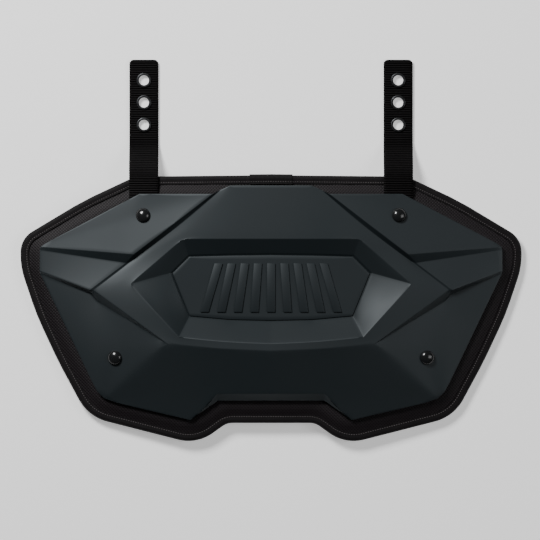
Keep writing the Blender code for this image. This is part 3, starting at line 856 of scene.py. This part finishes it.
def insidePolygon(x, y, loop):
    inside = False
    for one, two in zip(loop, loop[1:] + loop[:1]):
        if (one.y > y) != (two.y > y) and x < (two.x - one.x) * (y - one.y) / (two.y - one.y) + one.x:
            inside = not inside
    return inside


def shellOutline():
    names = ("topMid topTurn topBend valleyTop wingTopIn wingTopMid wingShoulder wingSlant tipSlant "
             "tipWing tipMid tipLow stepOut sideMid sideLow cornerSide cornerMid cornerFoot lowTip notch "
             "lowMid").split()
    half = [shellPoint(*shellCorners[name]).xy for name in names]
    return half + [Vector((-point.x, point.y)) for point in half[-2:0:-1]]


def makePad():
    thing = makePadForm()
    addModifier(thing, "even", "REMESH", mode="VOXEL", voxel_size=pad["voxel"])
    makePlain(thing)
    rest = [vert.co.copy() for vert in thing.data.vertices]
    covered = shellOutline()
    free = inset(padLoop, tape["width"] + pad["sewnPastTape"])
    middle = pad["thickness"] / 2
    held = []
    for spot in rest:
        under = insidePolygon(spot.x, spot.y, covered)
        held.append(not insidePolygon(spot.x, spot.y, free) or (under and spot.z > middle))
    pins = thing.vertex_groups.new(name="pins")
    pins.add([number for number, stays in enumerate(held) if stays], 1.0, "REPLACE")
    cloth = thing.modifiers.new("cover", "CLOTH")
    cloth.settings.use_pressure = True
    cloth.settings.uniform_pressure_force = pad["pressure"]
    cloth.settings.effector_weights.gravity = 0
    cloth.settings.vertex_group_mass = "pins"
    cloth.settings.quality = 5
    cloth.point_cache.frame_start = 1
    cloth.point_cache.frame_end = pad["frames"]
    for number in range(1, pad["frames"] + 1):
        bpy.context.scene.frame_set(number)
    makePlain(thing)
    bpy.context.scene.frame_set(1)
    for vert, spot in zip(thing.data.vertices, rest):
        move = vert.co - spot
        if move.length > pad["puff"]:
            vert.co = spot + move.normalized() * pad["puff"]
    thing.vertex_groups.clear()
    addModifier(thing, "smooth", "SUBSURF", levels=1, render_levels=1)
    makePlain(thing)
    layOnBack(thing)
    for vert in thing.data.vertices:
        vert.co.z = max(vert.co.z, pad["lowest"])
    thing.data.shade_smooth()
    return thing


def padMaterial():
    # Knitted spacer mesh: small holes set diagonally, darker inside, with a faint sheen on the knit
    material, tree, shader = newMaterial("knitted_spacer_mesh")
    place = addNode(tree, "ShaderNodeTexCoord").outputs["Object"]
    turn = math.tau / pad["holePitch"]
    turned = addNode(tree, "ShaderNodeVectorMath", place, (turn, turn, 0.0), operation="MULTIPLY")
    waves = addNode(tree, "ShaderNodeVectorMath", turned, operation="SINE")
    parts = addNode(tree, "ShaderNodeSeparateXYZ", waves)
    both = addNode(tree, "ShaderNodeMath", parts.outputs["X"], parts.outputs["Y"], operation="MULTIPLY")
    hole = addNode(tree, "ShaderNodeMapRange", both, -0.2, 0.7, 0.0, 1.0)
    knit = addNode(tree, "ShaderNodeMix", hole, data_type="RGBA",
                   i6=linear(pad["colour"]), i7=linear(pad["holes"])).outputs[2]
    # The slit between tape and shell at the top middle lies in deep shade
    topY = lowY + shell["abovePadFoot"] + shell["length"]
    spot = addNode(tree, "ShaderNodeSeparateXYZ", place)
    across = addNode(tree, "ShaderNodeMath", spot.outputs["X"], operation="ABSOLUTE")
    near = addNode(tree, "ShaderNodeMapRange", across, *pad["slitHalf"], 1.0, 0.0)
    above = addNode(tree, "ShaderNodeMapRange", spot.outputs["Y"], topY - pad["slitFoot"], topY, 0.0, 1.0)
    slit = addNode(tree, "ShaderNodeMath", near, above, operation="MULTIPLY")
    tone = addNode(tree, "ShaderNodeMix", slit, data_type="RGBA", i6=knit, i7=linear(pad["slit"])).outputs[2]
    bump = addNode(tree, "ShaderNodeBump", Strength=0.9, Distance=0.0002, Height=hole, invert=True)
    setInputs(tree, shader, {"Base Color": tone, "Roughness": 0.55, "Specular IOR Level": 0.22,
                             "Normal": bump})
    return material


padPiece = makePad()
padPiece.data.materials.append(padMaterial())
print("stage: pad", len(padPiece.data.polygons))

# Webbing straps

strap = {
    "width": 0.0254,
    "thickness": 0.002,
    "spread": 0.109615,
    "tail": 0.026,
    "held": 0.873,  # at the upper rivets, in lengths of the shell
    "corner": 0.0038,
    "fall": 0.034,
    "ribPitch": 0.0020,
    "ribHeight": 0.00042,
    "scallop": 0.0003,
    "ribRows": 6,
    "cells": 20,
    "edgeFrom": 0.9,  # in half widths
    "edgeThin": 0.35,
    "edgeFlat": 0.4,
    "yarnPitch": 0.0007,
    "yarnSlant": 0.5,
    "cutDepth": 0.012,
    "colour": "#221F20",
    "gaps": "#010101",
}
grommet = {
    "bore": 0.0043,
    "radius": 0.0063,
    "barrel": 0.0006,
    "flange": 0.0008,
    "pitch": 0.0192,
    "fromTip": 0.0177,
    "boreRoll": 0.00025,
    "rimRoll": 0.0005,
    "rollDeep": 0.8,  # at most this share of the flange
    "rollSteps": 6,
    "steps": 48,
}
strapStart = lowY + body["padLength"] - tape["width"] / 2
strapTail = lowY + shell["abovePadFoot"] + shell["length"] * strap["held"] - strap["tail"] / 2


def strapPath(x, y):
    share = min(1.0, max(0.0, (y - strapStart) / strap["fall"]))
    fall = share * share * (3 - 2 * share)
    high = backHeight(x, min(y, strapStart)) + shell["padFront"] + body["gap"]
    low = grommet["flange"] + body["gap"]
    return high + (low - high) * fall


def strapNormal(x, y):
    step = 0.0002
    slope = (strapPath(x, y + step) - strapPath(x, y - step)) / (2 * step)
    return Vector((0, -slope, 1)).normalized()


def makeStrap(name, side):
    middleX = side * strap["spread"]
    half = strap["width"] / 2
    rowStep = strap["ribPitch"] / strap["ribRows"]
    count = round((tipY - strapTail) / rowStep)
    rows = []
    for row in range(count + 1):
        y = strapTail + (tipY - strapTail) * row / count
        rib = 0.5 - 0.5 * math.cos(math.tau * (y - strapTail) / strap["ribPitch"])
        fromTip = tipY - y
        reach = half
        if fromTip < strap["corner"]:
            reach -= strap["corner"] - math.sqrt(strap["corner"] ** 2 - (strap["corner"] - fromTip) ** 2)
        reach -= strap["scallop"] * (1 - rib)
        normal = strapNormal(middleX, y)
        ring = []
        for upper in (True, False):
            for cell in range(strap["cells"] + 1):
                share = cell / strap["cells"] * 2 - 1
                x = middleX + reach * (share if upper else -share)
                edge = max(0.0, (abs(share) - strap["edgeFrom"]) / (1 - strap["edgeFrom"]))
                thick = strap["thickness"] * (1 - strap["edgeThin"] * edge * edge) / 2
                offset = thick - strap["ribHeight"] * (1 - rib) * (1 - strap["edgeFlat"] * edge)
                base = Vector((x, y, strapPath(x, y))) + normal * strap["thickness"] / 2
                ring.append(base + normal * (offset if upper else -offset))
        rows.append(ring)
    thing = joinRows(name, rows, closed=False)
    shadeSmooth(thing, 60)
    return thing


def makeTurned(name, profile, steps, closed):
    mesh = bpy.data.meshes.new(name)
    edges = [(number, number + 1) for number in range(len(profile) - 1)]
    if closed:
        edges.append((len(profile) - 1, 0))
    mesh.from_pydata([(radius, 0, height) for radius, height in profile], edges, [])
    thing = addObject(name, mesh)
    addModifier(thing, "turn", "SCREW", steps=steps, render_steps=steps, use_merge_vertices=True,
                merge_threshold=0.00002)
    makePlain(thing)
    reshape(thing)
    shadeSmooth(thing, 40)
    return thing


def grommetProfile():
    # A flat flange on each face with a small roll at the bore and a wider one at its rim
    barrel = grommet["bore"] + grommet["barrel"]
    inner = strap["thickness"] / 2 + body["gap"]
    top = inner + grommet["flange"]
    upper = []
    for centre, way, wide in ((grommet["bore"] + grommet["boreRoll"], -1, grommet["boreRoll"]),
                              (grommet["radius"] - grommet["rimRoll"], 1, grommet["rimRoll"])):
        high = min(wide, grommet["rollDeep"] * grommet["flange"])
        arc = []
        for step in range(grommet["rollSteps"] + 1):
            angle = math.pi / 2 * step / grommet["rollSteps"]
            arc.append((centre + way * wide * math.sin(angle), top - high * (1 - math.cos(angle))))
        upper += arc[::way]
    upper += [(grommet["radius"], inner), (barrel, inner)]
    return upper + [(radius, -height) for radius, height in upper[::-1]]


def metalMaterial(name, colour, metallic, roughness):
    # A faint dust breaks up the gloss
    material, tree, shader = newMaterial(name)
    place = addNode(tree, "ShaderNodeTexCoord").outputs["Object"]
    dust = addNode(tree, "ShaderNodeTexNoise", Vector=place, Scale=500.0, Detail=2.0)
    rough = addNode(tree, "ShaderNodeMapRange", dust, 0.35, 0.7, 0.85 * roughness, 1.2 * roughness)
    setInputs(tree, shader, {"Base Color": linear(colour), "Metallic": metallic, "Roughness": rough})
    return material


def webbingMaterial():
    # Ribbed nylon webbing: slanted yarns on the ribs, painted shade in the valleys between the ribs, and a
    # low sheen
    material, tree, shader = newMaterial("ribbed_nylon_webbing")
    parts = addNode(tree, "ShaderNodeSeparateXYZ", addNode(tree, "ShaderNodeUVMap", uv_map="tape"))
    slant = addNode(tree, "ShaderNodeMath", parts.outputs["X"], strap["yarnSlant"], parts.outputs["Y"],
                    operation="MULTIPLY_ADD")
    turned = addNode(tree, "ShaderNodeMath", slant, math.tau / strap["yarnPitch"], operation="MULTIPLY")
    yarn = addNode(tree, "ShaderNodeMath", turned, operation="SINE")
    height = addNode(tree, "ShaderNodeMapRange", yarn, -1.0, 1.0, 0.0, 1.0)
    # Painted shade: the valleys between the ribs are painted black, so the ribs read as lighter lines even
    # where the strap slopes
    place = addNode(tree, "ShaderNodeTexCoord").outputs["Object"]
    spot = addNode(tree, "ShaderNodeSeparateXYZ", place)
    fromTail = addNode(tree, "ShaderNodeMath", spot.outputs["Y"], strapTail, operation="SUBTRACT")
    ribTurn = addNode(tree, "ShaderNodeMath", fromTail, math.tau / strap["ribPitch"], operation="MULTIPLY")
    wave = addNode(tree, "ShaderNodeMath", ribTurn, operation="COSINE")
    paintedValleyShadeMask = addNode(tree, "ShaderNodeMapRange", wave, -1.0, 0.4, 1.0, 0.0)
    woven = addNode(tree, "ShaderNodeMix", height, data_type="RGBA",
                    i6=linear(strap["gaps"]), i7=linear(strap["colour"])).outputs[2]
    tone = addNode(tree, "ShaderNodeMix", paintedValleyShadeMask, data_type="RGBA",
                   i6=linear("#000000"), i7=woven).outputs[2]
    bump = addNode(tree, "ShaderNodeBump", Strength=0.5, Distance=0.0001, Height=height)
    setInputs(tree, shader, {"Base Color": tone, "Roughness": 0.45, "Specular IOR Level": 0.05,
                             "Normal": bump})
    return material


# Lacquered steel: a near black gloss. Gunmetal plate: dull grey metal with a soft light at its rim
lacquer = metalMaterial("dark_lacquered_steel", "#1A1B1C", 0.0, 0.19)
gunmetal = metalMaterial("gunmetal_plated_brass", "#4E4F51", 1.0, 0.34)
webbing = webbingMaterial()
strapPieces = {}
grommetPieces = {}
for word, side in (("left", -1), ("right", 1)):
    piece = makeStrap(f"strap_{word}_webbing", side)
    piece.data.materials.append(webbing)
    x = side * strap["spread"]
    cutters = []
    for number in (1, 2, 3):
        y = tipY - grommet["fromTip"] - (number - 1) * grommet["pitch"]
        middle = Vector((x, y, strapPath(x, y) + strap["thickness"] / 2))
        bm = bmesh.new()
        radius = grommet["bore"] + grommet["barrel"] + body["gap"]
        bmesh.ops.create_cone(bm, cap_ends=True, segments=grommet["steps"], radius1=radius, radius2=radius,
                              depth=strap["cutDepth"], matrix=Matrix.Translation(middle))
        cutter = fromBmesh("hole", bm)
        addModifier(piece, "hole", "BOOLEAN", object=cutter, solver="EXACT")
        cutters.append(cutter)
        ring = makeTurned(f"grommet_{word}_{number}_rolled", grommetProfile(), grommet["steps"], True)
        ring.data.transform(Matrix.Translation(middle))
        ring.data.materials.append(gunmetal)
        grommetPieces[f"grommet_{word}_{number}"] = ring
    makePlain(piece)
    for cutter in cutters:
        bpy.data.objects.remove(cutter)
    strapPieces[f"strap_{word}"] = piece
print("stage: straps", len(piece.data.polygons))

# Rivets through shell and pad

rivet = {
    "radius": 0.0062,
    "dome": 0.0042,
    "shank": 0.0025,
    "tailRadius": 0.0055,
    "tail": 0.0012,
    "steps": 56,
    # across in half widths, up in lengths
    "places": {"upper": (0.552, strap["held"]), "lower": (0.674, 0.2665)},
    "edge": 0.15,  # the dome's upright edge, in domes
    "foot": 0.97,  # the dome's foot, in radii
    "domeSteps": 12,
}


def shellSeat(tree, x, y):
    def height(across, up):
        return tree.ray_cast(Vector((x + across, y + up, 1.0)), Vector((0, 0, -1)))[0].z

    span = rivet["radius"]
    slopeX = (height(span, 0) - height(-span, 0)) / (2 * span)
    slopeY = (height(0, span) - height(0, -span)) / (2 * span)
    return Vector((x, y, height(0, 0))), Vector((-slopeX, -slopeY, 1)).normalized()


def domeProfile():
    profile = []
    for step in range(rivet["domeSteps"] + 1):
        angle = math.pi / 2 * step / rivet["domeSteps"]
        high = rivet["edge"] + (1 - rivet["edge"]) * math.cos(angle)
        profile.append((math.sin(angle) * rivet["radius"], body["gap"] + high * rivet["dome"]))
    return profile + [(rivet["foot"] * rivet["radius"], body["gap"])]


def makeRivets():
    tree = BVHTree.FromObject(shellPiece, bpy.context.evaluated_depsgraph_get())
    made = {}
    for word, side in (("left", -1), ("right", 1)):
        for level, (across, up) in rivet["places"].items():
            place = shellPoint(-side * across, up, 0)
            spot, normal = shellSeat(tree, place.x, place.y)
            seat = rivet["tail"] - (spot.z - backHeight(spot.x, spot.y)) / normal.z
            end = seat - rivet["tail"]
            shank = [(rivet["shank"], body["gap"]), (rivet["shank"], seat)]
            tail = [(rivet["tailRadius"], seat), (rivet["tailRadius"], end), (0.0, end)]
            name = f"rivet_{level}_{word}"
            thing = makeTurned(name + "_domed", domeProfile() + shank + tail, rivet["steps"], False)
            turn = normal.to_track_quat("Z", "Y").to_matrix().to_4x4()
            thing.data.transform(Matrix.Translation(spot) @ turn)
            thing.data.materials.append(lacquer)
            made[name] = thing
    return made


rivetPieces = makeRivets()
print("stage: rivets")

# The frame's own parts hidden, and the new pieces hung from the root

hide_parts("front_plate")
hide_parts("edge_binding")
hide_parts("binding_lap")
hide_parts("back_pad")
for name, piece in {**strapPieces, **grommetPieces, **rivetPieces}.items():
    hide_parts(name)
slots = {
    "moulded_shell": [shellPiece, barPiece],
    "binding_tape": [tapePiece, lapPiece, frontStitches, backStitches, lapStitches],
    "mesh_cloth": [padPiece],
    "webbing": list(strapPieces.values()),
    "black_enamel": list(grommetPieces.values()) + list(rivetPieces.values()),
}
for slot, pieces in slots.items():
    for piece in pieces:
        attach(piece, "root")

# Stage: a pale floor, soft lights and a camera straight above

view = {
    "centre": (-0.0009, -0.0170),
    "span": 0.4648,
    "distance": 8.0,
    "focus": 0.018,
    "aim": (0, 0, 0.02),
    "floorSize": 30.0,
    "floor": "#FFFFFF",
    "floorGlow": 0.45,
    "world": "#FFFFFF",
    "worldStrength": 0.03,
}
# place, size in metres, power in watts
lamps = {
    "key": ((-0.72, 0.98, 1.30), (0.50, 0.50), 36.0),
    "fill": ((1.30, -0.05, 1.30), (0.7, 0.9), 7.0),
}

# Matt paper with light of its own: an even pale ground that still takes a soft shadow
reach = view["floorSize"]
ground = bpy.data.meshes.new("floor")
ground.from_pydata([(-reach, -reach, 0), (reach, -reach, 0), (reach, reach, 0), (-reach, reach, 0)],
                   [], [(0, 1, 2, 3)])
floor = addObject("floor", ground)
paper, tree, shader = newMaterial("pale_paper")
setInputs(tree, shader, {
    "Base Color": linear(view["floor"]), "Roughness": 0.9, "Specular IOR Level": 0.1,
    "Emission Color": linear(view["floor"]), "Emission Strength": view["floorGlow"]})
ground.materials.append(paper)

for name, (place, size, power) in lamps.items():
    light = bpy.data.lights.new(name, "AREA")
    light.shape = "RECTANGLE"
    light.size, light.size_y = size
    light.energy = power
    lamp = addObject(name, light)
    lamp.location = place
    lamp.rotation_euler = (Vector(view["aim"]) - Vector(place)).to_track_quat("-Z", "Y").to_euler()

world = bpy.data.worlds.new("room")
bpy.context.scene.world = world
world.use_nodes = True
setInputs(world.node_tree, world.node_tree.nodes["Background"],
          {"Color": linear(view["world"]), "Strength": view["worldStrength"]})

camera = bpy.data.cameras.new("camera")
eye = addObject("camera", camera)
eye.location = (*view["centre"], view["distance"])
camera.lens = camera.sensor_width * (view["distance"] - view["focus"]) / view["span"]
camera.clip_end = 100.0
bpy.context.scene.camera = eye
print("stage: set")
